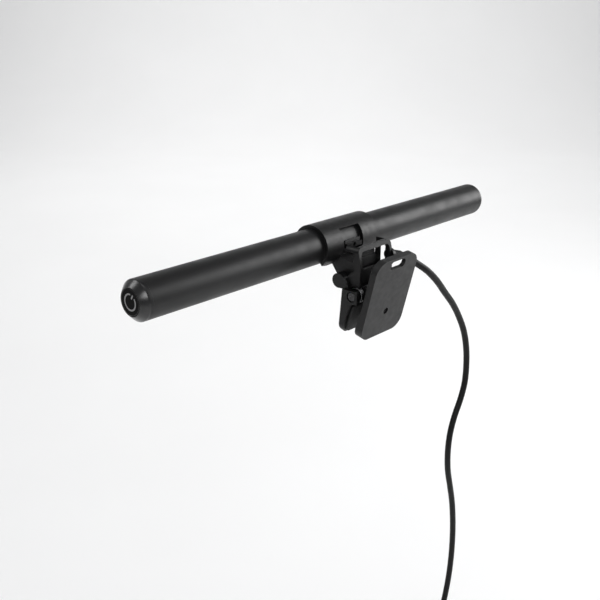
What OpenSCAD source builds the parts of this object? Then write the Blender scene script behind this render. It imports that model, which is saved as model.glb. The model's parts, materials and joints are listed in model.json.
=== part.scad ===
// Clip-on light bar for a thin screen.
// +X runs along the lamp tube towards the power key, +Y points behind the screen, +Z is up.
// The origin is the middle of the screen's top edge, where the clip sits down on it.

/* [Lamp] */
// Outside diameter of the lamp tube
tube_d = 22; // [21.9:0.05:22.1]
// Wall of the lamp tube
tube_wall = 1.3; // [1.2:0.05:1.4]
// Length of the tube between its two caps
tube_len = 300; // [296:2:320]
// How far the power cap stands out of the tube
key_cap_len = 6; // [5.8:0.1:6.4]
// How far the plain cap stands out of the tube
far_cap_len = 5.5; // [5:0.1:6]
// Direction of the light, from straight behind, seen from the power key
beam = -120; // [-125:1:-115]
// Number of LED chips
led_count = 40; // [20:1:40]

/* [Saddle] */
// Length of the collar that holds the tube
collar_len = 48.2; // [46:0.2:50]
// Outside radius of the collar
collar_r = 13.3; // [13:0.1:13.6]
// Width of the window in the collar
window_w = 18.4; // [17:0.2:19]
// Running clearance of the tube in the collar
tube_fit = 0.08; // [0.05:0.01:0.1]

/* [Clip] */
// Thickness of the screen between the pads
screen_t = 5.4; // [5.2:0.1:5.6]
// How far the screen leans back
lean = 18; // [17:0.5:19]
// Width of the front jaw
jaw_w = 40; // [39:0.5:41]
// Width of the rear plate
plate_w = 39.8; // [39.4:0.2:41]
// Thickness of the rubber pads
pad_t = 1.5; // [1.3:0.1:1.7]

/* [Lead] */
// Diameter of the power lead
lead_d = 4.4; // [4.2:0.1:4.5]

/* [Hidden] */
$fn = 64;

// Lamp
tube_r = tube_d / 2;
tube_in = tube_r - tube_wall;
tube_y = -31;
tube_z = 32;
half_tube = tube_len / 2;
spigot_len = 9;
spigot_in = 7.5;
slot_half = 41;
board_w = 10;
board_t = 1.2;
spreader_t = 1.5;
inner_len = tube_len - 20;
led_pitch = (inner_len - 6) / led_count;

// Power key, measured from the middle of the bar
key_face = half_tube + key_cap_len;
key_r = 6.9;
key_gap = 0.2;
key_travel = 0.4;
symbol_r = 4.1;
symbol_line = 0.75;
symbol_depth = 0.5;

// Saddle
window_low = -22;
window_high = 48;
boss_low = -8;
boss_high = 12;
boss_w = 14;
neck_w = 24;
hinge_y = -15.2;
hinge_z = 13;
barrel_r = 4.2;
hinge_bore_r = 1.6;
hinge_pin_r = 1.55;

// Clip
knuckle_r = 4.5;
knuckle_in = 12.9;
knuckle_out = 17.5;
pin_y = -3.3;
pin_z = 5.9;
pin_r = 1.5;
pin_bore_r = 1.55;
cheek_in = 17;
lever_out = 15.7;
lever_in = 13.9;
lever_top = 34.8;
plate_y = 9;
plate_lean = 14;
plate_t = 2.6;
plate_low = -21.8;
plate_high = 30.3;
plate_r = 8;
plate_screw_z = -5.5;
ear_in = 7;
ear_out = 11;
spring_r = 4.2;
spring_wire = 1.4;
spring_boss_r = 3.1;
coil_pocket_r = 5.3;

// Lead
exit_x = -16;
exit_y = -2.4;
exit_z = 24.5;
hub_r = 3.8;
relief_len = 11;
relief_dip = 13;
coil_x = -101;
coil_y = 10.75;
coil_z = -342;
coil_mid_r = 23;
coil_wide = 9;
coil_thick = 18;
tail_x = coil_x + 20.75;
tail_y = 17.5;
tail_len = 48;
// The lead's route from the strain relief down to the coil
LEAD_ROUTE = [
    [-26.7, -2.4, 22], [-34, -1.5, 18.8], [-41, 0.5, 13.8], [-49, 4, 7.4], [-59, 5, -1.4],
    [-70, 4.5, -12], [-81, 4.5, -23], [-91, 4, -35], [-99, 4, -48], [-104, 4, -62],
    [-106, 4, -76], [-105.5, 4, -90], [-101, 4, -102], [-94.5, 4, -113], [-90, 4, -125],
    [-88.5, 4, -139], [-90, 4, -155], [-95, 4, -172], [-100, 4, -190], [-103.5, 4, -214],
    [-104, 4, -240], [-101, 4, -264], [-94, 4, -288], [-84, 4, -310], [-75.75, 4, -342]
];

// ---- helpers ----

// An outline drawn in (Y, Z), extruded along X
module along_x(x0, x1) {
    translate([x0, 0, 0]) rotate([90, 0, 90]) linear_extrude(x1 - x0) children();
}

// The same shape on both sides of the middle
module both_sides() {
    children();
    mirror([1, 0, 0]) children();
}

module at_tube() { translate([0, tube_y, tube_z]) children(); }

// Turned so that -Z is the direction of the light
module at_beam() { at_tube() rotate([beam + 90, 0, 0]) children(); }

// Turned so that Z runs up the screen and Y out of its back
module at_screen() { rotate([-lean, 0, 0]) children(); }

// Turned so that Z runs up the rear plate and Y out of its outer face
module at_plate() { translate([0, plate_y, 0]) rotate([-plate_lean, 0, 0]) children(); }

// A cylinder along X
module rod_x(r, x0, x1) { translate([x0, 0, 0]) rotate([0, 90, 0]) cylinder(r = r, h = x1 - x0); }

// A profile of [radius, x] points turned about X
module turned(points) { rotate([0, 90, 0]) rotate_extrude() polygon(points); }

function sector(a0, a1, r) =
    concat([[0, 0]], [for (i = [0 : 8]) let (a = a0 + (a1 - a0) * i / 8) [r * cos(a), r * sin(a)]]);

function arc(cx, cy, r, a0, a1, steps) =
    [for (i = [0 : steps]) let (a = a0 + (a1 - a0) * i / steps) [cx + r * cos(a), cy + r * sin(a)]];

// Part of a ring between two angles
module ring_part(r0, r1, a0, a1) {
    difference() {
        intersection() {
            circle(r = r1);
            polygon(sector(a0, a1, 3 * r1));
        }
        circle(r = r0);
    }
}

// A rectangle with round corners, from z0 to z1 and centred on x = 0
module rounded_rect(w, z0, z1, r) {
    translate([-w / 2 + r, z0]) square([w - 2 * r, z1 - z0]);
    translate([-w / 2, z0 + r]) square([w, z1 - z0 - 2 * r]);
    for (x = [-w / 2 + r, w / 2 - r], z = [z0 + r, z1 - r]) translate([x, z]) circle(r = r);
}

// An outline drawn in (X, Z), extruded from y0 to y1
module across_y(y0, y1) {
    translate([0, y1, 0]) rotate([90, 0, 0]) linear_extrude(y1 - y0) children();
}

// ---- lamp: turns in the collar ----

module lamp_tube() color([0.08, 0.08, 0.08]) at_tube() {
    along_x(-half_tube, half_tube) difference() {
        circle(r = tube_r);
        circle(r = tube_in);
        polygon(sector(beam - slot_half, beam + slot_half, 2 * tube_r));
    }
}

module diffuser() color([0.95, 0.95, 0.92]) at_tube() {
    along_x(-half_tube, half_tube)
        ring_part(tube_in, tube_r, beam - slot_half + 0.5, beam + slot_half - 0.5);
    along_x(-inner_len / 2, inner_len / 2)
        ring_part(tube_in - 1.2, tube_in, beam - slot_half - 6, beam + slot_half + 6);
}

module heat_spreader() color([0.75, 0.76, 0.78]) at_beam() {
    translate([-inner_len / 2, -9.6, -1.2]) cube([inner_len, 19.2, spreader_t]);
}

module led_board() color([0.93, 0.93, 0.9]) at_beam() {
    translate([-inner_len / 2 + 1, -board_w / 2, -1.2 - board_t])
        cube([inner_len - 2, board_w, board_t]);
}

module led_chips() color([0.95, 0.9, 0.55]) at_beam() {
    for (i = [0 : led_count - 1])
        translate([(i - (led_count - 1) / 2) * led_pitch - 1.4, -1.75, -1.2 - board_t - 0.8])
            cube([2.8, 3.5, 0.8]);
}

module control_board() color([0.1, 0.35, 0.15]) at_beam() {
    translate([104, -6.5, 0.3]) cube([34, 13, board_t]);
}

module control_parts() color([0.15, 0.15, 0.15]) at_beam() {
    top = 0.3 + board_t;
    translate([108, -2.5, top]) cube([5, 5, 1.2]);
    translate([117, -3.5, top]) cube([6, 6, 3]);
    translate([127, 2, top]) cylinder(r = 2, h = 4);
    for (i = [0 : 3]) translate([125 + 2.4 * i, -5, top]) cube([1.2, 2, 0.6]);
}

// Two-core lead from the boss in the window to the control board
module lamp_lead() color([0.12, 0.12, 0.12]) at_beam() {
    translate([0, 0, 4]) rod_x(1, 0, 106);
    translate([106, 0, 0.3 + board_t]) cylinder(r = 1, h = 4 - 0.3 - board_t);
}

// Entry of the lead and stop of the tube's turn, standing in the collar's window
module lead_boss() color([0.1, 0.1, 0.1]) at_tube() {
    difference() {
        union() {
            along_x(-boss_w / 2, boss_w / 2) ring_part(tube_r, 12.4, boss_low, boss_high);
            along_x(-boss_w / 2, boss_w / 2) ring_part(tube_r, 13.9, boss_low, 3);
        }
        rotate([-2, 0, 0]) translate([0, 10, 0]) rotate([-90, 0, 0]) cylinder(r = 1.2, h = 5);
    }
}

module key_cap() color([0.06, 0.06, 0.06]) at_tube() {
    turned([
        [spigot_in, half_tube - spigot_len], [tube_in, half_tube - spigot_len],
        [tube_in, half_tube], [tube_r, half_tube], [tube_r, half_tube + 1.9],
        [tube_r - 0.1, half_tube + 2.4], [tube_r - 0.35, half_tube + 2.85],
        [key_r + 0.7, key_face - 0.1], [key_r + 0.5, key_face],
        [key_r + key_gap, key_face], [key_r + key_gap, key_face - 2.1],
        [8.2, key_face - 2.1], [8.2, half_tube + 0.5], [spigot_in, half_tube + 0.5]
    ]);
}

module far_cap() color([0.06, 0.06, 0.06]) at_tube() {
    end_r = 3.5;
    mirror([1, 0, 0]) turned(concat(
        [[8.2, half_tube - spigot_len], [tube_in, half_tube - spigot_len],
         [tube_in, half_tube], [tube_r, half_tube]],
        arc(tube_r - end_r, half_tube + far_cap_len - end_r, end_r, 0, 90, 8),
        [[0, half_tube + far_cap_len], [0, half_tube + 3.5], [8.2, half_tube + 3.5]]
    ));
}

module switch_board() color([0.1, 0.35, 0.15]) at_tube() {
    rod_x(spigot_in, 141.2, 142.4);
}

module switch_body() color([0.25, 0.25, 0.27]) at_tube() {
    translate([142.4, -3, -3]) cube([3.6, 6, 6]);
}

// ---- power key: pushed in along the tube ----

module power_symbol_outline() {
    rotate(-31) {
        difference() {
            circle(r = symbol_r + symbol_line / 2);
            circle(r = symbol_r - symbol_line / 2);
            polygon(sector(66, 114, 8));
        }
        translate([-symbol_line / 2, 2.2]) square([symbol_line, 2.5]);
    }
}

module power_key() color([0.05, 0.05, 0.05]) at_tube() {
    difference() {
        turned([
            [0, 148.5], [1.6, 148.5], [1.6, 152.6], [7.8, 152.6], [7.8, 153.7],
            [key_r, 153.7], [key_r, key_face - 0.2], [key_r - 0.2, key_face], [0, key_face]
        ]);
        along_x(key_face - symbol_depth, key_face + 1) power_symbol_outline();
    }
}

module key_plunger() color([0.85, 0.85, 0.85]) at_tube() { rod_x(1.6, 146.45, 148.5); }

module power_symbol() color([0.8, 0.8, 0.8]) at_tube() {
    along_x(key_face - symbol_depth, key_face) power_symbol_outline();
}

// ---- saddle: collar, neck and hinge barrel, tilts on the front jaw ----

module saddle() color([0.1, 0.1, 0.1]) difference() {
    union() {
        at_tube() along_x(-collar_len / 2, collar_len / 2)
            ring_part(tube_r + tube_fit, collar_r, -50, 205);
        at_tube() along_x(-16, 16) ring_part(tube_r + tube_fit, collar_r, -80, -45);
        // Solid neck from the collar down to the barrel
        at_tube() along_x(-neck_w / 2, neck_w / 2) difference() {
            polygon([
                [5.8, -10.9], [10.9, -17.6], [15.8, -19], [20.6, -18], [22.6, -13.5],
                [22.9, -8.2], [14, -5.6], [10, -5]
            ]);
            circle(r = tube_r + tube_fit);
        }
        // Rear frame of the neck with its two horns
        at_tube() along_x(-neck_w / 2, neck_w / 2)
            polygon([[22, -13.5], [24.2, -13], [24.7, -11], [24.7, -7], [22.4, -7]]);
        at_tube() both_sides() along_x(8.6, neck_w / 2)
            polygon([[22.6, -9], [24.7, -9], [24.7, -1.6], [24, -1], [22.9, -1.3]]);
        at_tube() along_x(-6.8, 6.8) polygon([
            [22.4, -9], [24.7, -9], [24.7, -5.4], [24, -5], [24, -2.9], [23.6, -2.6], [22.4, -3]
        ]);
        translate([0, hinge_y, hinge_z]) rod_x(barrel_r, -neck_w / 2, neck_w / 2);
    }
    translate([0, hinge_y, hinge_z]) rod_x(hinge_bore_r, -20, 20);
    at_tube() along_x(-window_w / 2, window_w / 2)
        ring_part(tube_r - 1, 14.3, window_low, window_high);
    // Channel for the lead
    at_tube() translate([0, 18.5, -8]) rotate([-20, 0, 0]) translate([0, 0, -5])
        cylinder(r = 1.4, h = 12);
}

module neck_lead() color([0.12, 0.12, 0.12]) {
    at_tube() translate([0, 18.5, -8]) rotate([-20, 0, 0]) translate([0, 0, -5])
        cylinder(r = 1.2, h = 7.5);
}

// ---- clip frame: sits on the screen ----

// The moulding before its bores are drilled
module front_jaw_body() {
    // Plate in front of the screen, thinner towards its tip
    at_screen() intersection() {
        along_x(-jaw_w / 2, jaw_w / 2) polygon([
            [-12.5, 5.9], [-9.8, -6], [-6.6, -20.5], [-6, -21], [-4.2, -21],
            [-4.2, -1.2], [-10.4, -1.2], [-10.4, 5.2]
        ]);
        across_y(-20, 0) rounded_rect(jaw_w, -21, 20, 6);
    }
    // Cross wall between the plate and the lever
    along_x(-jaw_w / 2 + 2, jaw_w / 2 - 2)
        polygon([[-10.1, 9.5], [-10.6, 6.5], [-8.8, 6.5], [-8.4, 9.5]]);
    // Side walls that hold the jaw pin
    both_sides() along_x(cheek_in, jaw_w / 2) polygon([
        [-10.1, 9.5], [0.2, 9.5], [1, 8.7], [1, 1.6], [-2.4, 1.6], [-4.6, -0.6], [-9, -2],
        [-10.9, 1]
    ]);
    // Knuckles of the tilt hinge
    both_sides() {
        translate([0, hinge_y, hinge_z]) rod_x(knuckle_r, knuckle_in, knuckle_out);
        along_x(knuckle_in, knuckle_out) polygon([
            [-15.2, 8.7], [-10.4, 8.6], [-8.2, 9.5], [-8.2, 13], [-10.5, 16], [-15.2, 13]
        ]);
    }
    // Front lever with round top corners: a cheek and an arm on each side, and a rear wall
    intersection() {
        across_y(-13, 3) rounded_rect(2 * lever_out, -10, lever_top, 3.4);
        union() {
            both_sides() along_x(lever_in, lever_out) polygon([
                [-11.5, 34.8], [-2.2, 34.8], [-0.9, 29.2], [-0.2, 22.7], [-0.4, 13.5],
                [-0.6, 10.5], [-3.3, 11.4], [-9.5, 8.5], [-10, 15], [-7.4, 18.6],
                [-4.6, 20.5], [-4.4, 29.8], [-6, 31.2], [-11.5, 31.2]
            ]);
            along_x(-lever_out, lever_out) polygon([
                [-4.4, 34.8], [-2.2, 34.8], [-0.9, 29.2], [-0.2, 22.7], [-0.4, 13.5],
                [-2.6, 13.5], [-2.4, 22.7], [-3.1, 29.2]
            ]);
        }
    }
    // Hub that holds the strain relief
    translate([0, exit_y, exit_z]) rod_x(hub_r, -17.4, -lever_out + 0.6);
    // Web from each side wall to the lever
    both_sides() along_x(lever_in, cheek_in + 1)
        polygon([[-9.8, 8], [-10.1, 12], [-7.6, 12], [-7.4, 9.6], [-8.8, 8]]);
}

module front_jaw() color([0.1, 0.1, 0.1]) difference() {
    union() {
        difference() {
            front_jaw_body();
            translate([0, pin_y, pin_z]) both_sides() rod_x(coil_pocket_r, 11.3, cheek_in);
        }
        // Boss inside each side wall that carries the spring's turns
        translate([0, pin_y, pin_z]) both_sides() rod_x(spring_boss_r, 11.3, cheek_in + 1);
    }
    // Opening of the front lever
    across_y(-12, 2) rounded_rect(2 * lever_in - 0.4, 21.6, 32.1, 2.6);
    // Tilt screw: head on one side, nut pocket on the other
    translate([0, hinge_y, hinge_z]) {
        rod_x(hinge_bore_r, -20, 16.6);
        rod_x(3.1, -18, -15.5);
        rotate([0, 90, 0]) translate([0, 0, 13.4]) cylinder(r = 2.9, h = 2.2, $fn = 6);
    }
    // Jaw pin, with a round recess for each head
    translate([0, pin_y, pin_z]) {
        rod_x(pin_r, -21, 21);
        both_sides() rod_x(3.2, jaw_w / 2 - 0.9, 21);
    }
}

module front_pad() color([0.16, 0.16, 0.16]) at_screen() {
    across_y(-screen_t / 2 - pad_t, -screen_t / 2) rounded_rect(34, -20, -1.8, 3);
}

module tilt_screw() color([0.7, 0.7, 0.72]) translate([0, hinge_y, hinge_z]) {
    difference() {
        union() {
            rod_x(hinge_pin_r, -16, 16.5);
            rod_x(2.9, -17.3, -15.5);
        }
        rotate([0, 90, 0]) translate([0, 0, -17.5]) cylinder(r = 1.3, h = 1.4, $fn = 6);
    }
}

module tilt_nut() color([0.72, 0.6, 0.3]) translate([0, hinge_y, hinge_z]) {
    rotate([0, 90, 0]) translate([0, 0, 13.4]) difference() {
        cylinder(r = 2.9, h = 2.2, $fn = 6);
        translate([0, 0, -1]) cylinder(r = hinge_pin_r, h = 5);
    }
}

module tilt_washers() color([0.7, 0.7, 0.72]) translate([0, hinge_y, hinge_z]) {
    both_sides() difference() {
        rod_x(3.8, neck_w / 2 + 0.06, knuckle_in);
        rod_x(hinge_pin_r, 11, 14);
    }
}

module jaw_pin() color([0.7, 0.7, 0.72]) translate([0, pin_y, pin_z]) {
    rod_x(pin_r, -19.6, 19.6);
    both_sides() rod_x(2.6, jaw_w / 2 - 0.9, jaw_w / 2 - 0.3);
}

// Double torsion spring: three turns and a front leg on each side, and a bridge behind
module jaw_spring() color([0.75, 0.75, 0.77]) {
    wire_r = spring_wire / 2;
    both_sides() translate([0, pin_y, pin_z]) {
        for (i = [0 : 2])
            translate([12.4 + 1.5 * i, 0, 0]) rotate([0, 90, 0]) rotate_extrude()
                translate([spring_r, 0]) circle(r = wire_r, $fn = 24);
        translate([15.4, -spring_r - 0.2, -4.4]) cylinder(r = wire_r, h = 4.4, $fn = 24);
        translate([12.4, spring_r, 0]) rotate([-41, 0, 0])
            cylinder(r = wire_r, h = 12.4, $fn = 24);
    }
    translate([0, pin_y + spring_r + 8.1, pin_z + 9.4]) rod_x(wire_r, -12.9, 12.9);
}

// ---- rear jaw: swings on the jaw pin ----

module plate_blank(inset, y0, y1) {
    at_plate() across_y(y0, y1)
        rounded_rect(plate_w - 2 * inset, plate_low + inset, plate_high - inset, plate_r - inset);
}

module rear_jaw() color([0.16, 0.16, 0.16]) difference() {
    union() {
        plate_blank(0, -plate_t, 0);
        // Rim that stiffens the plate
        difference() {
            plate_blank(0, -plate_t - 1.6, 0);
            plate_blank(1.8, -plate_t - 3, 0);
            at_screen() translate([-30, 0, -30]) cube([60, 30, 29.4]);
        }
        // Deeper side walls around the rear cover
        intersection() {
            difference() {
                plate_blank(0, -12, 0);
                plate_blank(1.8, -13, -plate_t);
            }
            at_screen() translate([-30, screen_t / 2 + pad_t, -30]) cube([60, 30, 29.4]);
        }
        // Shelf above the screen's edge, up to the ears
        intersection() {
            plate_blank(0.5, -12, 0);
            at_screen() translate([-30, screen_t / 2 + pad_t, -1.6]) cube([60, 30, 1.8]);
        }
        both_sides() along_x(ear_in, ear_out) {
            translate([pin_y, pin_z]) circle(r = 4);
            polygon([
                [-3.3, 9.9], [10.5, 10.6], [9, 1], [7.4, -2.6], [4.6, -1], [2.6, 0.9], [-3.3, 1.9]
            ]);
        }
    }
    // Slot at the top
    at_plate() across_y(-6, 1) translate([0, 26.1]) {
        translate([-4.5, -2.7]) square([9, 5.4]);
        for (x = [-4.5, 4.5]) translate([x, 0]) circle(r = 2.7);
    }
    // Counterbored hole of the rear screw
    at_plate() translate([0, 0, plate_screw_z]) rotate([90, 0, 0]) {
        translate([0, 0, -1]) cylinder(r = 1.4, h = 8);
        translate([0, 0, -1]) cylinder(r = 2.1, h = 2.8);
    }
    translate([0, pin_y, pin_z]) rod_x(pin_bore_r, -12, 12);
}

module rear_cover() color([0.12, 0.12, 0.12]) difference() {
    union() {
        at_screen() across_y(screen_t / 2 + pad_t, screen_t / 2 + pad_t + 1.6)
            rounded_rect(35, -17, -1.8, 6);
        intersection() {
            at_plate() translate([0, -plate_t, plate_screw_z]) rotate([90, 0, 0])
                cylinder(r = 3, h = 4);
            at_screen() translate([-10, screen_t / 2 + pad_t, -20]) cube([20, 10, 18.2]);
        }
    }
    at_plate() translate([0, 0, plate_screw_z]) rotate([90, 0, 0]) cylinder(r = 1.3, h = 12);
}

module rear_pad() color([0.16, 0.16, 0.16]) at_screen() {
    across_y(screen_t / 2, screen_t / 2 + pad_t) rounded_rect(34, -17, -1.8, 3);
}

module rear_screw() color([0.7, 0.7, 0.72]) at_plate() translate([0, 0, plate_screw_z]) {
    rotate([90, 0, 0]) difference() {
        union() {
            translate([0, 0, 1.1]) cylinder(r = 1.95, h = 0.7);
            translate([0, 0, 1.1]) cylinder(r = 1.3, h = 3.6);
        }
        for (a = [0, 90]) rotate(a) translate([-1.2, -0.25, 0]) cube([2.4, 0.5, 1.5]);
    }
}

// ---- lead ----

module strain_relief() color([0.07, 0.07, 0.07]) translate([exit_x, exit_y, exit_z]) {
    rotate([0, -relief_dip, 0]) mirror([1, 0, 0]) turned([
        [0, 0], [3.1, 0], [3.1, 2.6], [2.9, 3.2], [lead_d / 2 + 0.2, relief_len], [0, relief_len]
    ]);
}

// A Catmull-Rom curve through the route's points
function spline(p0, p1, p2, p3, t) = 0.5 * (2 * p1 + (p2 - p0) * t
    + (2 * p0 - 5 * p1 + 4 * p2 - p3) * t * t + (3 * p1 - p0 - 3 * p2 + p3) * t * t * t);

function smooth_route(p, steps) = concat(
    [for (i = [0 : len(p) - 2], s = [0 : steps - 1])
        spline(p[max(i - 1, 0)], p[i], p[i + 1], p[min(i + 2, len(p) - 1)], s / steps)],
    [p[len(p) - 1]]
);

function unit(v) = v / norm(v);

// Direction of the route at point i, square to the strain relief and the coil at its ends
function heading(p, i) =
    i == 0 ? [-cos(relief_dip), 0, -sin(relief_dip)] : i == len(p) - 1 ? [0, 0, -1] : unit(p[i + 1] - p[i - 1]);

// The lead swept along a route that stays near the X-Z plane, with the section's axes
// taken across the heading and along Y
module lead_tube(route, sides) {
    points = [for (i = [0 : len(route) - 1])
        let (d = heading(route, i), side = unit(cross(d, [0, 1, 0])), up = cross(side, d))
        for (k = [0 : sides - 1])
            route[i] + lead_d / 2 * (cos(360 * k / sides) * side + sin(360 * k / sides) * up)];
    walls = [for (i = [0 : len(route) - 2], k = [0 : sides - 1])
        let (a = i * sides + k, b = i * sides + (k + 1) % sides) [a, b, b + sides, a + sides]];
    last = (len(route) - 1) * sides;
    ends = [[for (k = [sides - 1 : -1 : 0]) k], [for (k = [0 : sides - 1]) last + k]];
    polyhedron(points, concat(walls, ends));
}

module power_lead() color([0.06, 0.06, 0.06]) lead_tube(smooth_route(LEAD_ROUTE, 3), 8);

module lead_coil() color([0.06, 0.06, 0.06]) translate([coil_x, coil_y, coil_z]) {
    rotate([90, 0, 0]) rotate_extrude() translate([coil_mid_r, 0])
        square([coil_wide, coil_thick], center = true);
}

module lead_tie() color([0.1, 0.1, 0.1]) translate([coil_x - 5, coil_y, coil_z + coil_mid_r]) {
    difference() {
        translate([0, -10.2, -6.2]) cube([10, 20.4, 12]);
        translate([-1, -9.1, -5.1]) cube([12, 18.2, 9.7]);
    }
}

module plug_lead() color([0.06, 0.06, 0.06]) translate([tail_x, tail_y, coil_z - tail_len]) {
    cylinder(r = lead_d / 2, h = tail_len);
}

module plug_grip() color([0.07, 0.07, 0.07]) {
    translate([tail_x, tail_y, coil_z - tail_len]) {
        translate([0, 0, -7]) cylinder(r1 = 3.6, r2 = 2.6, h = 7);
        translate([0, 0, -27]) linear_extrude(20) {
            square([12.4, 7.6], center = true);
            square([15.4, 4.6], center = true);
            for (x = [-6.2, 6.2], y = [-2.3, 2.3]) translate([x, y]) circle(r = 1.5);
        }
    }
}

module plug_shell() color([0.75, 0.75, 0.77]) {
    translate([tail_x, tail_y, coil_z - tail_len - 27]) {
        translate([0, 0, -14.5]) linear_extrude(14.5) difference() {
            square([12, 4.5], center = true);
            square([11.4, 3.9], center = true);
        }
        translate([-5.7, -1.95, -13.5]) cube([11.4, 1.9, 13.5]);
    }
}

lamp_tube();
diffuser();
heat_spreader();
led_board();
led_chips();
control_board();
control_parts();
lamp_lead();
lead_boss();
key_cap();
far_cap();
switch_board();
switch_body();
power_key();
key_plunger();
power_symbol();
saddle();
neck_lead();
front_jaw();
front_pad();
tilt_screw();
tilt_nut();
tilt_washers();
jaw_pin();
jaw_spring();
rear_jaw();
rear_cover();
rear_pad();
rear_screw();
strain_relief();
power_lead();
lead_coil();
lead_tie();
plug_lead();
plug_grip();
plug_shell();
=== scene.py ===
# %% [markdown]
# # A clip-on light bar for a thin screen
# The bar is a slim black tube with caps at its ends. An open collar holds it, and the collar stands
# on a sprung clip that sits on the top edge of a screen. A thin lead leaves the clip.
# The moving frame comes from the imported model. This file gives every piece its real finish, and
# makes the pieces whose look needs more than the frame holds.

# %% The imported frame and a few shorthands
import bpy, bmesh, json, math
from mathutils import Matrix, Vector


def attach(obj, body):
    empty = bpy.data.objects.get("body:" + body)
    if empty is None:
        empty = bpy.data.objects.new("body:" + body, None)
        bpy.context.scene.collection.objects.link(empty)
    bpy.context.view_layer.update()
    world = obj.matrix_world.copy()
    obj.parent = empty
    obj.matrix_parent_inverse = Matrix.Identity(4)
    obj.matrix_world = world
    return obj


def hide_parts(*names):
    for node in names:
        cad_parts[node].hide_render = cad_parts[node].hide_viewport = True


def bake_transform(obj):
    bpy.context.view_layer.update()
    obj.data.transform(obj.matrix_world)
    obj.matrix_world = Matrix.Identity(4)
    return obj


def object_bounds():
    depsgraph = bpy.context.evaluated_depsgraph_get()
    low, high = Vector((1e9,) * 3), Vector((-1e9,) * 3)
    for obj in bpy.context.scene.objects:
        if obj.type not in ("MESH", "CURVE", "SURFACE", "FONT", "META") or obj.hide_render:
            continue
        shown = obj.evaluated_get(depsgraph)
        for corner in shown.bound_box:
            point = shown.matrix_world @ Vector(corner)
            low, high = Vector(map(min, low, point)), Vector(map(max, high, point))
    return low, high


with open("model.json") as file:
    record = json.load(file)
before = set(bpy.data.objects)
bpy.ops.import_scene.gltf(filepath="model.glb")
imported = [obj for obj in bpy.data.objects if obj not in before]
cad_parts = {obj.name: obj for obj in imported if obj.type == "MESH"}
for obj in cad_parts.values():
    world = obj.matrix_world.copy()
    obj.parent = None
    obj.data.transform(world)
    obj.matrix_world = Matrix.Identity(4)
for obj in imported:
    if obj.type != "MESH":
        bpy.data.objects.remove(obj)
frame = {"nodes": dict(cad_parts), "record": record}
cad_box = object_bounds()
nodes = frame["nodes"]
bodies = frame["record"]["behaviour"]["bodies"]
body_of = {node: body for body, members in bodies.items() for node in members}
MM = 0.001
TUBE = Vector((0, -31, 32))


def mm(*p):
    """A place or a size in millimetres, as the scene's metres."""
    return Vector(p) * MM


# %% [markdown]
# ## The camera
# A long bar is best shown from a distance with a normal lens, so that the near cap is only a little
# larger than the far one. The camera stands behind the screen, above the bar's height, and looks
# down a little.

# %% The camera
cam = bpy.data.objects.new("camera", bpy.data.cameras.new("camera"))
bpy.context.scene.collection.objects.link(cam)
LENS = 49.84
AZIMUTH, ELEVATION = 132.031, 19.391
STAND = mm(381.05, 282.04, 165.85)
cam.data.lens = LENS
cam.data.sensor_width = 36
cam.data.clip_start = 0.01
az, el = math.radians(AZIMUTH), math.radians(ELEVATION)
back = Vector((math.sin(az) * math.cos(el), -math.cos(az) * math.cos(el), math.sin(el)))
across = Vector((0, 0, 1)).cross(back).normalized()
upward = back.cross(across)
turn = Matrix((across, upward, back)).transposed().to_4x4()
cam.matrix_world = Matrix.Translation(STAND) @ turn
bpy.context.scene.camera = cam
print("camera at", tuple(round(c, 4) for c in cam.location))

# %% [markdown]
# ## Plain meshes
# A finished piece is a plain mesh at the origin. Modifiers could stay live, but what they make is
# applied here, so that every later step works on the same vertices. Shading is smooth up to an
# angle, so round walls look round and real edges stay crisp.

# %% Objects and meshes
def add_object(name, mesh):
    obj = bpy.data.objects.new(name, mesh)
    bpy.context.scene.collection.objects.link(obj)
    return obj


def plain_mesh(obj):
    """Turns what the modifiers make of obj into its own mesh, and removes them."""
    depsgraph = bpy.context.evaluated_depsgraph_get()
    mesh = bpy.data.meshes.new_from_object(obj.evaluated_get(depsgraph))
    obj.modifiers.clear()
    obj.data = mesh
    return obj


def smooth_by_angle(mesh, degrees=32):
    """Smooth shading, with edges sharper than the angle kept as edges."""
    mesh.shade_smooth()
    mesh.set_sharp_from_angle(angle=math.radians(degrees))


def mesh_from(name, verts, faces, merge=0.0):
    """A mesh with its faces turned outwards, and with doubled vertices merged if asked."""
    mesh = bpy.data.meshes.new(name)
    mesh.from_pydata([tuple(v) for v in verts], [], faces)
    bm = bmesh.new()
    bm.from_mesh(mesh)
    if merge:
        bmesh.ops.remove_doubles(bm, verts=bm.verts, dist=merge)
    bmesh.ops.recalc_face_normals(bm, faces=bm.faces)
    bm.to_mesh(mesh)
    bm.free()
    return mesh


def seat(obj, node, *others, body=None):
    """The piece stands for a frame node: it rides the same body, and the node is hidden."""
    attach(obj, body or body_of[node])
    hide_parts(node, *others)
    return obj


print("helpers for plain meshes ready, body count", len(bodies))

# %% [markdown]
# ## Small radii
# Moulded and turned parts never have knife edges: a tool leaves a small radius, and that radius
# catches the light. A copy of a frame mesh is merged, its flat faces are joined, and a bevel by
# angle rounds only the real edges. Modelling each radius by hand would give the same look for far
# more work.

# %% A rounded copy of a frame piece
MERGE = 2e-6
FLAT = math.radians(0.6)
rubbed_version = {}


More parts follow.
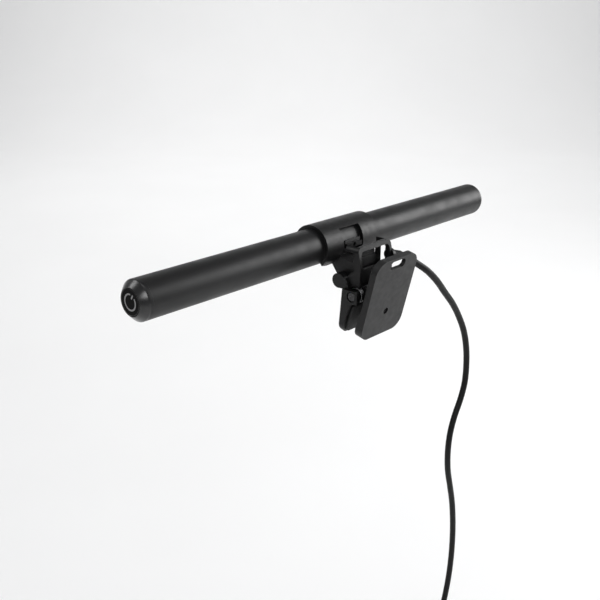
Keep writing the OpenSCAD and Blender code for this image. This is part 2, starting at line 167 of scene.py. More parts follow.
def rounded_copy(node, edge, finish, segments=2, angle=30, name=None):
    """The frame's shape with small radii. The radii get the finish's rubbed version."""
    mesh = nodes[node].data.copy()
    bm = bmesh.new()
    bm.from_mesh(mesh)
    bmesh.ops.remove_doubles(bm, verts=bm.verts, dist=MERGE)
    bmesh.ops.dissolve_limit(bm, angle_limit=FLAT, verts=bm.verts, edges=bm.edges)
    bm.to_mesh(mesh)
    bm.free()
    mesh.materials.clear()
    mesh.materials.append(finish)
    mesh.materials.append(rubbed_version.get(finish.name, finish))
    smooth_by_angle(mesh)
    obj = add_object(name or node + "_finished", mesh)
    if edge:
        bevel = obj.modifiers.new("edge", "BEVEL")
        bevel.width = edge * MM
        bevel.segments = segments
        bevel.limit_method = "ANGLE"
        bevel.angle_limit = math.radians(angle)
        bevel.miter_outer = "MITER_ARC"
        bevel.material = 1
        flat = obj.modifiers.new("flat faces", "WEIGHTED_NORMAL")
        flat.keep_sharp = True
        flat.weight = 50
        plain_mesh(obj)
    print(obj.name, "faces", len(obj.data.polygons))
    return seat(obj, node)


print("joined faces flatter than", round(math.degrees(FLAT), 2), "degrees")

# %% [markdown]
# ## Wires and turned forms
# A lead and a spring are one section carried along a path, and a cap or a sleeve is one profile
# turned about an axis. Curves with a bevel and the Spin tool would do both. Two short functions are
# used instead, because they give exact rings and closed ends.

# %% Sweep and lathe
def sweep(points, r, sides):
    """A tube along points, with a frame carried from ring to ring so that it doesn't twist."""
    points = [Vector(p) for p in points]
    verts, faces = [], []
    side = None
    for i, p in enumerate(points):
        a, b = points[max(i - 1, 0)], points[min(i + 1, len(points) - 1)]
        d = (b - a).normalized()
        if side is None:
            side = d.cross(Vector((0, 1, 0)) if abs(d.y) < 0.9 else Vector((1, 0, 0)))
        side = (side - d * side.dot(d)).normalized()
        up = d.cross(side)
        for k in range(sides):
            t = 2 * math.pi * k / sides
            verts.append(p + r * (math.cos(t) * side + math.sin(t) * up))
    n = len(points)
    for i in range(n - 1):
        for k in range(sides):
            a, b = i * sides + k, i * sides + (k + 1) % sides
            faces.append((a, b, b + sides, a + sides))
    faces.append(tuple(range(sides - 1, -1, -1)))
    faces.append(tuple((n - 1) * sides + k for k in range(sides)))
    return verts, faces


def lathe(profile, origin, axis, sides=48, hollow=False):
    """A profile of (radius, distance) pairs turned about an axis. A hollow one closes on itself."""
    axis = Vector(axis).normalized()
    side = axis.orthogonal().normalized()
    up = axis.cross(side)
    verts, faces = [], []
    for r, d in profile:
        for k in range(sides):
            t = 2 * math.pi * k / sides
            v = Vector(origin) + axis * d + max(r, 1e-5) * (math.cos(t) * side + math.sin(t) * up)
            verts.append(v * MM)
    rows = len(profile)
    for i in range(rows if hollow else rows - 1):
        j = (i + 1) % rows
        for k in range(sides):
            m = (k + 1) % sides
            faces.append((i * sides + k, i * sides + m, j * sides + m, j * sides + k))
    if not hollow:
        faces.append(tuple(range(sides - 1, -1, -1)))
        faces.append(tuple((rows - 1) * sides + k for k in range(sides)))
    return verts, faces


print("a swept ring of 14 sides is round within", round(1 - math.cos(math.pi / 14), 3), "of its radius")

# %% [markdown]
# ## The finishes
# Each finish is built from the same few layers a real surface has: a base colour that drifts
# slightly, a gloss that varies with handling, a fine relief from the tool or the grain, and edges
# rubbed a little lighter. Painted maps could give the same, but noise on object coordinates gives
# all of them at true scale and needs no unwrapping.

# %% One builder for the finishes
def surface(name, colour, rough, drift=0.15, drift_scale=60, rough_spread=0.06,
            relief=0.0, relief_scale=3000, relief_height=0.00002, stretch=(1, 1, 1),
            metallic=0.0, coat=0.0, coat_rough=0.1, specular=0.5, subsurface=0.0):
    mat = bpy.data.materials.new(name)
    mat.use_nodes = True
    tree = mat.node_tree
    link = tree.links.new
    shader = tree.nodes["Principled BSDF"]
    shader.inputs["Metallic"].default_value = metallic
    shader.inputs["Coat Weight"].default_value = coat
    shader.inputs["Coat Roughness"].default_value = coat_rough
    shader.inputs["Specular IOR Level"].default_value = specular
    shader.inputs["Subsurface Weight"].default_value = subsurface
    shader.inputs["Subsurface Scale"].default_value = 0.002
    coords = tree.nodes.new("ShaderNodeTexCoord")
    mapping = tree.nodes.new("ShaderNodeMapping")
    mapping.inputs["Scale"].default_value = stretch
    link(coords.outputs["Object"], mapping.inputs["Vector"])

    def noise(scale, detail):
        n = tree.nodes.new("ShaderNodeTexNoise")
        n.inputs["Scale"].default_value = scale
        n.inputs["Detail"].default_value = detail
        link(mapping.outputs["Vector"], n.inputs["Vector"])
        return n

    cloudy = noise(drift_scale, 4)
    ramp = tree.nodes.new("ShaderNodeValToRGB")
    ramp.color_ramp.elements[0].position = 0.3
    ramp.color_ramp.elements[1].position = 0.7
    ramp.color_ramp.elements[0].color = (*[c * (1 - drift) for c in colour], 1)
    ramp.color_ramp.elements[1].color = (*[min(c * (1 + drift), 1) for c in colour], 1)
    link(cloudy.outputs["Fac"], ramp.inputs["Fac"])
    link(ramp.outputs["Color"], shader.inputs["Base Color"])
    handled = noise(drift_scale * 4, 6)
    spread = tree.nodes.new("ShaderNodeMapRange")
    spread.inputs["From Min"].default_value = 0.3
    spread.inputs["From Max"].default_value = 0.7
    spread.inputs["To Min"].default_value = max(rough - rough_spread, 0.02)
    spread.inputs["To Max"].default_value = min(rough + rough_spread, 1)
    link(handled.outputs["Fac"], spread.inputs["Value"])
    link(spread.outputs["Result"], shader.inputs["Roughness"])
    if relief:
        grain = noise(relief_scale, 2)
        bump = tree.nodes.new("ShaderNodeBump")
        bump.inputs["Strength"].default_value = relief
        bump.inputs["Distance"].default_value = relief_height
        link(grain.outputs["Fac"], bump.inputs["Height"])
        link(bump.outputs["Normal"], shader.inputs["Normal"])
    return mat


def with_rubbed(mat, colour, rough, spread=0.5):
    """A lighter, smoother and patchier version for the edges that hands and cloths rub."""
    rubbed_version[mat.name] = surface(mat.name + " rubbed", colour, rough, drift=spread,
                                       drift_scale=450, rough_spread=0.1, relief=0.15,
                                       relief_scale=2500)
    return mat


print("finishes so far", len(bpy.data.materials))


# %% The finishes of the visible black parts
tube_black = with_rubbed(
    surface("satin black tube", (0.0055, 0.0055, 0.0058), 0.47, drift=0.2, drift_scale=25,
            relief=0.3, relief_scale=2600, relief_height=0.00003, specular=0.4),
    (0.02, 0.02, 0.021), 0.34)
cap_black = with_rubbed(
    surface("gloss black cap", (0.005, 0.005, 0.0055), 0.3, drift=0.15, rough_spread=0.04,
            relief=0.1, relief_scale=1200, relief_height=0.00002, coat=0.6, coat_rough=0.24),
    (0.02, 0.02, 0.021), 0.2)
moulding_black = with_rubbed(
    surface("fine grained black", (0.0045, 0.0045, 0.0047), 0.46, drift=0.25, drift_scale=80,
            relief=0.4, relief_scale=3500, relief_height=0.00004, specular=0.4),
    (0.016, 0.016, 0.0165), 0.36)
# The plate's base colour and its rubbed edges are painted lighter than the other black mouldings:
# painted light for the light the plate takes flat on.
plate_painted_light = with_rubbed(
    surface("fine grained black with painted light", (0.0112, 0.0112, 0.0115), 0.52, drift=0.12, drift_scale=70,
            relief=0.45, relief_scale=3200, relief_height=0.00004, specular=0.4),
    (0.03, 0.03, 0.0306), 0.42)
lead_black = with_rubbed(
    surface("soft lead jacket", (0.0025, 0.0025, 0.0026), 0.52, drift=0.2, drift_scale=120,
            relief=0.3, relief_scale=2500, relief_height=0.00003, specular=0.3),
    (0.008, 0.008, 0.008), 0.46)
key_black = with_rubbed(
    surface("satin black key", (0.003, 0.003, 0.0031), 0.42, drift=0.2, drift_scale=150,
            relief=0.2, relief_scale=2600, relief_height=0.00002, specular=0.05),
    (0.012, 0.012, 0.0122), 0.32)
symbol_grey = surface("light grey inlay", (0.3, 0.3, 0.305), 0.45, drift=0.08, drift_scale=400,
                      relief=0.1, relief_scale=3000)
print("finishes", len(bpy.data.materials))

# %% The finishes of rubber, metal, boards and light parts
pad_rubber = surface("soft pad rubber", (0.03, 0.03, 0.03), 0.75, drift=0.25, drift_scale=200,
                     relief=0.5, relief_scale=2500, relief_height=0.00004)
steel = surface("bright zinc plate", (0.62, 0.62, 0.64), 0.26, drift=0.08, drift_scale=300,
                rough_spread=0.1, metallic=1, relief=0.15, relief_scale=2500)
wire_steel = surface("drawn spring wire", (0.16, 0.16, 0.165), 0.3, drift=0.12, drift_scale=400,
                     rough_spread=0.08, metallic=1, relief=0.12, relief_scale=3000)
black_steel = surface("black oxide steel", (0.09, 0.09, 0.092), 0.3, drift=0.2, drift_scale=400,
                      rough_spread=0.1, metallic=1, relief=0.15, relief_scale=2500)
brass = surface("turned brass", (0.75, 0.55, 0.25), 0.3, drift=0.1, drift_scale=300, metallic=1,
                relief=0.1, relief_scale=2500)
aluminium = surface("mill aluminium", (0.75, 0.76, 0.78), 0.38, drift=0.06, drift_scale=40,
                    metallic=1, relief=0.25, relief_scale=2500, stretch=(0.02, 1, 1))
opal = surface("opal diffuser", (0.93, 0.93, 0.9), 0.42, drift=0.02, drift_scale=30,
               relief=0.15, relief_scale=1500, subsurface=0.5)
white_board = surface("white solder mask", (0.88, 0.88, 0.85), 0.35, drift=0.04, drift_scale=200,
                      relief=0.2, relief_scale=1200)
green_board = surface("green solder mask", (0.02, 0.16, 0.05), 0.3, drift=0.35, drift_scale=900,
                      relief=0.3, relief_scale=1500, coat=0.4)
component = surface("moulded component", (0.02, 0.02, 0.022), 0.5, drift=0.2, drift_scale=600,
                    relief=0.3, relief_scale=4000)
phosphor = surface("phosphor", (0.9, 0.72, 0.2), 0.5, drift=0.1, drift_scale=2500, relief=0.3,
                   relief_scale=6000)
white_plastic = surface("white plastic", (0.85, 0.85, 0.83), 0.4, drift=0.03, relief=0.1)
print("finishes in all", len(bpy.data.materials))

# %% [markdown]
# ## The lead
# The lead is a round two-core cable 4.4 mm thick and about 1.45 m long. It leaves a tapered sleeve
# beside the clip, falls behind the screen in a slow S, and its spare length is wound and tied, as it
# comes out of the box. It could be a curve object. A swept mesh is used here because the same sweep also
# makes the spring, and the path can be given exactly.

# %% The lead's route
LEAD_D = 4.4
ROUTE = [(-26.7, -2.4, 22), (-34, -1.5, 18.8), (-41, 0.5, 13.8), (-49, 4, 7.4), (-59, 5, -1.4),
         (-70, 4.5, -12), (-81, 4.5, -23), (-91, 4, -35), (-99, 4, -48), (-104, 4, -62),
         (-106, 4, -76), (-105.5, 4, -90), (-101, 4, -102), (-94.5, 4, -113), (-90, 4, -125),
         (-88.5, 4, -139), (-90, 4, -155), (-95, 4, -172), (-100, 4, -190), (-103.5, 4, -214),
         (-104, 4, -240), (-101, 4, -264), (-94, 4, -288), (-84, 4, -310), (-75.75, 4, -342)]
COIL = (-101, -342)
TAIL = 48
CELLS = [(25.25, 4), (20.75, 4), (20.75, 8.5), (25.25, 8.5), (25.25, 13), (20.75, 13),
         (20.75, 17.5)]


def curve_through(points, steps):
    """The Catmull-Rom curve through the points."""
    out = []
    p = [Vector(q) for q in points]
    for i in range(len(p) - 1):
        a, b, c, d = p[max(i - 1, 0)], p[i], p[i + 1], p[min(i + 2, len(p) - 1)]
        for s in range(steps):
            t = s / steps
            out.append(0.5 * (2 * b + (c - a) * t + (2 * a - 5 * b + 4 * c - d) * t * t
                              + (3 * b - a - 3 * c + d) * t ** 3))
    return out + [p[-1]]


lead_path = curve_through(ROUTE, 4)
per_turn = 36
for n, (r, y) in enumerate(CELLS):
    r2, y2 = CELLS[min(n + 1, len(CELLS) - 1)]
    for k in range(1, per_turn + 1):
        f = k / per_turn
        step = max(0.0, (f - 0.7) / 0.3)
        step = step * step * (3 - 2 * step)
        rr, yy = r + (r2 - r) * step, y + (y2 - y) * step
        t = -2 * math.pi * f
        lead_path.append(Vector((COIL[0] + rr * math.cos(t), yy, COIL[1] + rr * math.sin(t))))
tail_top = lead_path[-1]
for k in range(1, 7):
    lead_path.append(tail_top + Vector((0, 0, -TAIL * k / 6)))
lead_path = [p * MM for p in lead_path]

# %% The lead, swept and attached to the clip
verts, faces = sweep(lead_path, LEAD_D / 2 * MM, 14)
lead = add_object("power_lead_round", mesh_from("power_lead_round", verts, faces))
smooth_by_angle(lead.data, 50)
lead.data.materials.append(lead_black)
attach(lead, "clip")
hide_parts("power_lead", "lead_coil", "plug_lead")

# %% [markdown]
# ## The sleeve where the lead leaves
# A strain relief keeps the lead from kinking at the housing. The real one is a soft tapered sleeve
# with shallow rings that let it flex. It is a turned form, so a lathe of one profile makes it.

# %% The strain relief
dip = math.radians(13)
profile = [(0, 0.3), (2.9, 0.3), (3.1, 0.5), (3.1, 2.5), (2.95, 2.9)]
for k in range(5):
    d = 3.6 + 1.3 * k
    r = 2.95 - 0.08 * k
    profile += [(r - 0.2, d - 0.35), (r - 0.2, d - 0.15), (r, d), (r, d + 0.6)]
profile += [(2.55, 10.4), (2.45, 10.8), (2.3, 11.0), (0, 11.0)]
verts, faces = lathe(profile, (-16, -2.4, 24.5), (-math.cos(dip), 0, -math.sin(dip)))
relief = add_object("strain_relief_sleeve", mesh_from("strain_relief_sleeve", verts, faces, 1e-6))
smooth_by_angle(relief.data, 50)
relief.data.materials.append(lead_black)
seat(relief, "strain_relief")
print("sleeve faces", len(relief.data.polygons))

# %% [markdown]
# ## The plug
# A standard plug has a moulded grip and a folded steel shell with two latch windows and a tongue
# with four contacts. The grip's ribs repeat along it, so Geometry Nodes place them: one rib, a line
# of points, and the two faces of the grip.

# %% A Geometry Nodes tree that repeats a rounded bar along a line
def bars_tree(name):
    tree = bpy.data.node_groups.new(name, "GeometryNodeTree")
    face = tree.interface
    face.new_socket("Geometry", in_out="INPUT", socket_type="NodeSocketGeometry")
    for label, kind in (("Count", "NodeSocketInt"), ("Bar Size", "NodeSocketVector"),
                        ("First Bar", "NodeSocketVector"), ("Step", "NodeSocketVector"),
                        ("Turn", "NodeSocketVector"), ("Finish", "NodeSocketMaterial")):
        face.new_socket(label, in_out="INPUT", socket_type=kind)
    face.new_socket("Geometry", in_out="OUTPUT", socket_type="NodeSocketGeometry")
    add, link = tree.nodes.new, tree.links.new
    inp, out = add("NodeGroupInput"), add("NodeGroupOutput")
    line = add("GeometryNodeMeshLine")
    bar = add("GeometryNodeMeshCube")
    for axis in "XYZ":
        bar.inputs["Vertices " + axis].default_value = 2
    extrude = add("GeometryNodeExtrudeMesh")
    extrude.inputs["Offset Scale"].default_value = 0.0001
    extrude.inputs["Individual"].default_value = False
    shrink = add("GeometryNodeScaleElements")
    shrink.inputs["Scale"].default_value = 0.86
    place = add("GeometryNodeInstanceOnPoints")
    join = add("GeometryNodeJoinGeometry")
    real = add("GeometryNodeRealizeInstances")
    paint = add("GeometryNodeSetMaterial")
    link(inp.outputs["Count"], line.inputs["Count"])
    link(inp.outputs["First Bar"], line.inputs["Start Location"])
    link(inp.outputs["Step"], line.inputs["Offset"])
    link(inp.outputs["Bar Size"], bar.inputs["Size"])
    link(bar.outputs["Mesh"], extrude.inputs["Mesh"])
    link(extrude.outputs["Mesh"], shrink.inputs["Geometry"])
    link(extrude.outputs["Top"], shrink.inputs["Selection"])
    link(line.outputs["Mesh"], place.inputs["Points"])
    link(shrink.outputs["Geometry"], place.inputs["Instance"])
    link(inp.outputs["Turn"], place.inputs["Rotation"])
    link(place.outputs["Instances"], join.inputs["Geometry"])
    link(inp.outputs["Geometry"], join.inputs["Geometry"])
    link(join.outputs["Geometry"], real.inputs["Geometry"])
    link(real.outputs["Geometry"], paint.inputs["Geometry"])
    link(inp.outputs["Finish"], paint.inputs["Material"])
    link(paint.outputs["Geometry"], out.inputs["Geometry"])
    return tree


repeat_bars = bars_tree("repeat bars")


def with_bars(obj, **values):
    mod = obj.modifiers.new("bars", "NODES")
    mod.node_group = repeat_bars
    keys = {s.name: s.identifier for s in repeat_bars.interface.items_tree
            if s.item_type == "SOCKET" and s.in_out == "INPUT"}
    for label, value in values.items():
        mod[keys[label.replace("_", " ")]] = value
    return plain_mesh(obj)


print("tree", repeat_bars.name, "nodes", len(repeat_bars.nodes))

# %% The grip with its ribs
plug_x, plug_y, plug_z = COIL[0] + CELLS[-1][0], CELLS[-1][1], COIL[1] - TAIL
GRIP_LENGTH = 27
grip = rounded_copy("plug_grip", 0.5, lead_black, segments=3, name="plug_grip_moulded")
for side in (-1, 1):
    with_bars(grip, Count=7, Bar_Size=mm(8.4, 0.5, 0.8), Finish=lead_black,
              First_Bar=mm(plug_x, plug_y + side * 3.85, plug_z - 11), Step=mm(0, 0, -2.1),
              Turn=(0.0, 0.0, 0.0))
smooth_by_angle(grip.data, 40)
print("grip faces", len(grip.data.polygons))

# %% The shell, its latch windows, tongue and contacts
shell = rounded_copy("plug_shell", 0.12, steel, name="plug_shell_folded")
for side in (-1, 1):
    with_bars(shell, Count=2, Bar_Size=mm(2.0, 0.12, 2.2), Finish=steel, Turn=(0.0, 0.0, 0.0),
              First_Bar=mm(plug_x - 2.9, plug_y + side * 2.2, plug_z - GRIP_LENGTH - 8.5),
              Step=mm(5.8, 0, 0))
dark = surface("tongue plastic", (0.02, 0.02, 0.022), 0.4, relief=0.1)
shell.data.materials.append(dark)
for f in shell.data.polygons:
    c = f.center / MM
    inside = abs(c.x - plug_x) < 5.65 and abs(c.y - plug_y) < 1.97
    if inside and c.y < plug_y + 0.05:
        f.material_index = len(shell.data.materials) - 1
print("shell faces", len(shell.data.polygons), "materials", len(shell.data.materials))

# %% [markdown]
# ## The tie
# A short hook-and-loop strap holds the turns. It is a flat band wrapped round the bundle's section.
# The band's outline is a rounded rectangle, extruded to the strap's width, and it gets its thickness
# from two offset outlines.

# %% The strap
def rounded_outline(hw, hh, r, steps=6):
    pts = []
    for cx, cz, a0 in ((hw - r, hh - r, 0), (-hw + r, hh - r, 90), (-hw + r, -hh + r, 180),
                       (hw - r, -hh + r, 270)):
        for k in range(steps + 1):
            a = math.radians(a0 + 90 * k / steps)
            pts.append((cx + r * math.cos(a), cz + r * math.sin(a)))
    return pts


tie_x, tie_y, tie_z = COIL[0], 10.75, COIL[1] + 23
inner, outer = rounded_outline(9.1, 4.75, 2.2), rounded_outline(10.0, 5.65, 2.9)
verts, faces = [], []
n = len(inner)
for x in (-4.6, 4.6):
    for pts in (inner, outer):
        verts += [mm(tie_x + x, tie_y + a, tie_z + b) for a, b in pts]
for k in range(n):
    j = (k + 1) % n
    faces += [(k, j, n + j, n + k), (2 * n + k, 3 * n + k, 3 * n + j, 2 * n + j),
              (k, 2 * n + k, 2 * n + j, j), (n + k, n + j, 3 * n + j, 3 * n + k)]
tie = add_object("lead_tie_strap", mesh_from("lead_tie_strap", verts, faces))
bevel = tie.modifiers.new("edge", "BEVEL")
bevel.width = 0.25 * MM
bevel.segments = 2
bevel.limit_method = "ANGLE"
plain_mesh(tie)
smooth_by_angle(tie.data, 50)
strap = surface("woven strap", (0.015, 0.015, 0.016), 0.85, drift=0.4, drift_scale=1500,
                relief=0.8, relief_scale=2200, relief_height=0.0001)
tie.data.materials.append(strap)
seat(tie, "lead_tie")
print("strap faces", len(tie.data.polygons))

# %% [markdown]
# ## The lamp tube, its window and its caps
# The tube is an extrusion with a satin black coat. Its slot is closed by an opal strip. One cap
# carries the power key, and its bright bevel is the most visible edge of the lamp. Both caps are
# turned from a profile, because their fine bevels need more rings than a bevel by angle gives.

# %% Tube, strip and caps
rounded_copy("lamp_tube", 0.06, tube_black)
rounded_copy("diffuser", 0.1, opal)


def turned_cap(node, profile, sign):
    """A hollow cap. Its straight wall has the tube's finish, and the rest has the gloss one."""
    verts, faces = lathe(profile, TUBE, (sign, 0, 0), 128, hollow=True)
    cap = add_object(node + "_turned", mesh_from(node + "_turned", verts, faces))
    smooth_by_angle(cap.data, 24)
    cap.data.materials.append(cap_black)
    cap.data.materials.append(tube_black)
    for f in cap.data.polygons:
        f.material_index = 1 if abs(f.normal.x) < 0.05 else 0
    print(cap.name, "faces", len(cap.data.polygons))
    return seat(cap, node)


turned_cap("key_cap", [(7.5, 141), (9.6, 141), (9.7, 141.1), (9.7, 150), (10.95, 150),
                       (11, 150.05), (11, 151.9), (10.97, 152.2), (10.86, 152.5),
                       (10.65, 152.85), (7.62, 155.82), (7.52, 155.9), (7.4, 155.9),
                       (7.14, 155.75), (7.1, 155.7), (7.1, 153.9), (8.2, 153.9),
                       (8.2, 150.5), (7.5, 150.5)], 1)
dome = [(7.5 + 3.5 * math.cos(math.radians(a)), 152 + 3.5 * math.sin(math.radians(a)))
        for a in range(0, 91, 6)]
turned_cap("far_cap", [(8.2, 141), (9.6, 141), (9.7, 141.1), (9.7, 150), (10.95, 150),
                       (11, 150.05)] + dome + [(0.001, 155.5), (0.001, 153.5), (8.2, 153.5)], -1)
rounded_copy("lead_boss", 0.35, moulding_black, segments=3)
rounded_copy("power_key", 0.12, key_black, angle=40)
rounded_copy("power_symbol", 0, symbol_grey)

# %% [markdown]
# ## The parts inside the tube
# The chips sit in a row on a white board, and each has a pale body and a yellow window of phosphor.
# Geometry Nodes repeat one chip along the board. The other inner parts keep the frame's shape, with
# small edges.

# %% The row of chips
def chips_tree():
    tree = bpy.data.node_groups.new("row of chips", "GeometryNodeTree")
    face = tree.interface
    face.new_socket("Geometry", in_out="INPUT", socket_type="NodeSocketGeometry")
    for label, kind in (("Count", "NodeSocketInt"), ("Pitch", "NodeSocketVector"),
                        ("First", "NodeSocketVector"), ("Body Size", "NodeSocketVector"),
                        ("Window Radius", "NodeSocketFloat"), ("Turn", "NodeSocketVector"),
                        ("Body", "NodeSocketMaterial"), ("Window", "NodeSocketMaterial")):
        face.new_socket(label, in_out="INPUT", socket_type=kind)
    face.new_socket("Geometry", in_out="OUTPUT", socket_type="NodeSocketGeometry")
    add, link = tree.nodes.new, tree.links.new
    inp, out = add("NodeGroupInput"), add("NodeGroupOutput")
    line, body, lens = add("GeometryNodeMeshLine"), add("GeometryNodeMeshCube"), \
        add("GeometryNodeMeshCylinder")
    lens.inputs["Vertices"].default_value = 20
    lens.inputs["Depth"].default_value = 0.0002
    paint_body, paint_lens = add("GeometryNodeSetMaterial"), add("GeometryNodeSetMaterial")
    lift, join, place, real = add("GeometryNodeTransform"), add("GeometryNodeJoinGeometry"), \
        add("GeometryNodeInstanceOnPoints"), add("GeometryNodeRealizeInstances")
    lift.inputs["Translation"].default_value = (0, 0, -0.00035)
    mark, marked = add("GeometryNodeStoreNamedAttribute"), add("GeometryNodeInputNamedAttribute")
    mark.data_type, mark.domain, marked.data_type = "BOOLEAN", "FACE", "BOOLEAN"
    mark.inputs["Name"].default_value = marked.inputs["Name"].default_value = "window"
    mark.inputs["Value"].default_value = True
    link(inp.outputs["Count"], line.inputs["Count"])
    link(inp.outputs["First"], line.inputs["Start Location"])
    link(inp.outputs["Pitch"], line.inputs["Offset"])
    link(inp.outputs["Body Size"], body.inputs["Size"])
    link(inp.outputs["Window Radius"], lens.inputs["Radius"])
    link(lens.outputs["Mesh"], lift.inputs["Geometry"])
    link(lift.outputs["Geometry"], mark.inputs["Geometry"])
    link(body.outputs["Mesh"], join.inputs["Geometry"])
    link(mark.outputs["Geometry"], join.inputs["Geometry"])
    link(line.outputs["Mesh"], place.inputs["Points"])
    link(join.outputs["Geometry"], place.inputs["Instance"])
    link(inp.outputs["Turn"], place.inputs["Rotation"])
    link(place.outputs["Instances"], real.inputs["Geometry"])
    link(real.outputs["Geometry"], paint_body.inputs["Geometry"])
    link(inp.outputs["Body"], paint_body.inputs["Material"])
    link(paint_body.outputs["Geometry"], paint_lens.inputs["Geometry"])
    link(marked.outputs["Attribute"], paint_lens.inputs["Selection"])
    link(inp.outputs["Window"], paint_lens.inputs["Material"])
    link(paint_lens.outputs["Geometry"], out.inputs["Geometry"])
    return tree


row_of_chips = chips_tree()
print("tree", row_of_chips.name, "nodes", len(row_of_chips.nodes))

# %% Forty chips on the board
CHIPS = 40
BOARD_LENGTH = 274
SPREADER_FACE, BOARD_T, CHIP_T = -1.2, 1.2, 0.8
beam = math.radians(-30)
chip_z = SPREADER_FACE - BOARD_T - CHIP_T / 2
chip_row = TUBE + Matrix.Rotation(beam, 3, "X") @ Vector((0, 0, chip_z))
pitch = BOARD_LENGTH / CHIPS
chips = add_object("led_chips_row", bpy.data.meshes.new("led_chips_row"))
mod = chips.modifiers.new("row", "NODES")
mod.node_group = row_of_chips
keys = {s.name: s.identifier for s in row_of_chips.interface.items_tree
        if s.item_type == "SOCKET" and s.in_out == "INPUT"}
for label, value in (("Count", CHIPS), ("Pitch", mm(pitch, 0, 0)),
                     ("Body Size", mm(2.8, 3.5, CHIP_T)),
                     ("First", (chip_row - Vector(((CHIPS - 1) / 2 * pitch, 0, 0))) * MM),
                     ("Window Radius", 1.15 * MM), ("Turn", (beam, 0.0, 0.0)),
                     ("Body", white_plastic), ("Window", phosphor)):
    mod[keys[label]] = value
plain_mesh(chips)
seat(chips, "led_chips")
print("chips faces", len(chips.data.polygons), "materials", len(chips.data.materials))

# %% Boards, spreader and switch
rounded_copy("heat_spreader", 0.2, aluminium)
rounded_copy("led_board", 0.1, white_board)
rounded_copy("control_board", 0.1, green_board)
rounded_copy("control_parts", 0.15, component)
rounded_copy("lamp_lead", 0.1, lead_black)
rounded_copy("switch_board", 0.1, green_board)
rounded_copy("switch_body", 0.2, component)
rounded_copy("key_plunger", 0.15, white_plastic)

# %% [markdown]
# ## The saddle and the clip
# These are injection mouldings in black plastic with a fine spark texture. The rear plate's colour
# is painted a little lighter than the rest: painted light for the light it takes flat on. Small radii
# on every edge give the thin highlights that draw the shape. Their pins, screws and washers are bare
# or blackened steel.

# %% Saddle, clip mouldings and plate
rounded_copy("saddle", 0.3, moulding_black)
rounded_copy("neck_lead", 0.1, lead_black)
rounded_copy("front_jaw", 0.25, moulding_black)
# The rear plate's finish carries painted light: its colour is lighter for the light it takes flat on.
rounded_copy("rear_jaw", 0.35, plate_painted_light)
rounded_copy("rear_cover", 0.25, moulding_black)

# %% Pin, screws, nut and washers
rounded_copy("jaw_pin", 0.2, black_steel)
rounded_copy("tilt_screw", 0.2, steel)
rounded_copy("tilt_nut", 0.15, brass)
rounded_copy("tilt_washers", 0.1, steel)
rounded_copy("rear_screw", 0.08, black_steel)

# %% [markdown]
# ## The pads
# Each jaw has a rubber pad with raised ribs, which grip the screen and let dust pass. The pad is the
# frame's shape, and the ribs repeat down it, so they come from the same tree as the plug's ribs.

# %% The ribbed pads
lean = math.radians(-18)


def on_screen(n, w):
    """A place n in front of or behind the screen's middle plane, and w up it."""
    return Vector((0, n * math.cos(lean) - w * math.sin(lean), n * math.sin(lean) + w * math.cos(lean)))


RIBS = 8
for node, n, low in (("front_pad", -2.86, -18.6), ("rear_pad", 2.86, -15.6)):
    pad = rounded_copy(node, 0.3, pad_rubber)
    first, last = on_screen(n, low), on_screen(n, -3.2)
    with_bars(pad, Count=RIBS, Bar_Size=mm(30, 0.3, 0.9), Finish=pad_rubber,
              First_Bar=first * MM, Step=(last - first) / (RIBS - 1) * MM, Turn=(lean, 0.0, 0.0))
    smooth_by_angle(pad.data, 40)
    print(node, "ribs", RIBS)

# %% [markdown]
# ## The torsion spring
# One piece of wire makes the whole spring: a leg in the jaw, three turns, a leg back to the plate,
# a bridge across, and the same again on the other side. When the plate is pressed, the rear legs
# follow it. Here the wire is built once, in its rest shape.

# %% The spring
PIN = Vector((0, -3.3, 5.9))
TURN_R = 4.2
WIRE_R = 0.68
OUTER_X, INNER_X = 15.4, 12.4
FULL_TURNS = 3
bridge = Vector((0, 9.3, 15.15))
reach = bridge - PIN
leave = math.degrees(math.atan2(reach.z, reach.y) + math.acos(TURN_R / reach.length))


def half_spring(side):
    """Up the front leg, round the turns towards the middle of the clip, and back along the rear leg."""
    pts = [Vector((OUTER_X * side, PIN.y - TURN_R, PIN.z - down)) for down in (4.3, 2)]
    sweep_angle = 180 - leave + 360 * FULL_TURNS
    steps = 36 * FULL_TURNS
    for k in range(steps + 1):
        f = k / steps
        a = math.radians(180 - sweep_angle * f)
        x = (OUTER_X - (OUTER_X - INNER_X) * f) * side
        pts.append(Vector((x, PIN.y + TURN_R * math.cos(a), PIN.z + TURN_R * math.sin(a))))
    end = Vector((INNER_X * side, bridge.y, bridge.z))
    return pts + [pts[-1].lerp(end, f) for f in (0.25, 0.5, 0.75, 0.9)]


left, right = half_spring(-1), half_spring(1)
corner = [Vector((x, bridge.y, bridge.z + lift)) for x, lift in
          ((-12.1, 0), (-11.3, 0.15), (11.3, 0.15), (12.1, 0))]
middle = [corner[1].lerp(corner[2], k / 6) for k in range(7)]
wire = left + [corner[0]] + middle + [corner[3]] + right[::-1]
verts, faces = sweep([p * MM for p in wire], WIRE_R * MM, 12)
spring = add_object("jaw_spring_wire", mesh_from("jaw_spring_wire", verts, faces))
smooth_by_angle(spring.data, 50)
spring.data.materials.append(wire_steel)
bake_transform(spring)
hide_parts("jaw_spring")
print("spring leaves its turns at", round(leave, 1), "degrees; points", len(wire))

# %% [markdown]
# ## Floor and light
# A pale sweep and a few large soft lights. The key light stands behind the screen on the far side: it
# draws the long band along the tube and lights the plate, and leaves the sides that face the near
# cap dark. The others show the cap's bevel from two sides and keep the floor pale. The floor's own
# light is kept out of reflections, so that the top of the tube stays dark.

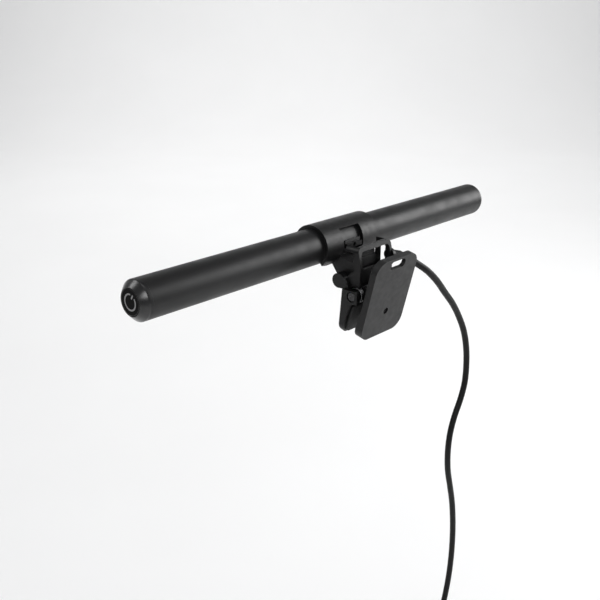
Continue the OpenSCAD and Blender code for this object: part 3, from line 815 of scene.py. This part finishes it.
# %% Floor and backdrop
floor_z = cad_box[0][2] - 0.001
sweep_line = [(-3.0, 0), (3.0, 0)] + [(3.0 + math.sin(math.radians(a)), 1 - math.cos(math.radians(a)))
                                      for a in range(10, 91, 10)] + [(4.0, 6)]
away = Vector((-back.x, -back.y, 0)).normalized()
sideways = Vector((away.y, -away.x, 0))
verts, faces = [], []
for s in (-8, 8):
    verts += [away * d + sideways * s + Vector((0, 0, floor_z + h)) for d, h in sweep_line]
m = len(sweep_line)
faces = [(k, k + 1, m + k + 1, m + k) for k in range(m - 1)]
floor = add_object("studio_floor", mesh_from("studio_floor", verts, faces))
floor.data.shade_smooth()
floor.data.materials.append(surface("pale paper", (0.86, 0.86, 0.86), 0.9, drift=0.01,
                                    drift_scale=3, rough_spread=0.02))
print("floor at", round(floor_z, 4))

# %% The lights
def soft_light(name, place, size, power, target=(0, 0, 0)):
    data = bpy.data.lights.new(name, "AREA")
    data.shape = "RECTANGLE"
    data.size, data.size_y = size
    data.energy = power
    lamp = bpy.data.objects.new(name, data)
    bpy.context.scene.collection.objects.link(lamp)
    lamp.location = place
    aim = Vector(target) - Vector(place)
    lamp.rotation_euler = aim.to_track_quat("-Z", "Y").to_euler()
    return lamp


soft_light("rear key", (-1.3, 0.74, 0.5), (0.8, 0.9), 17)
soft_light("overhead", (0.1, 0.2, 1.3), (1.2, 0.5), 1.5)
soft_light("cap side", (1.06, 0.82, 0.68), (0.5, 0.55), 5)
soft_light("cap top", (0.75, -1.0, 1.1), (0.6, 0.6), 4)
beyond = away * 2.4
wash = soft_light("floor wash", (beyond.x, beyond.y, 2.2), (3.0, 3.0), 76, (beyond.x, beyond.y, -1))
wash.visible_glossy = False
world = bpy.data.worlds.new("studio")
bpy.context.scene.world = world
world.use_nodes = True
world.node_tree.nodes["Background"].inputs["Color"].default_value = (0.97, 0.98, 1, 1)
world.node_tree.nodes["Background"].inputs["Strength"].default_value = 0.22
bpy.context.scene.view_settings.view_transform = "Standard"
print("lights", len(bpy.data.lights))

# %% [markdown]
# ## The sizes
# The finished pieces should fill the same box as the frame, with only fractions of a millimetre of
# rib or wire beyond it. The frame's box is written down.

# %% The sizes, and the end
print("cad box", [[round(v, 4) for v in c] for c in cad_box])
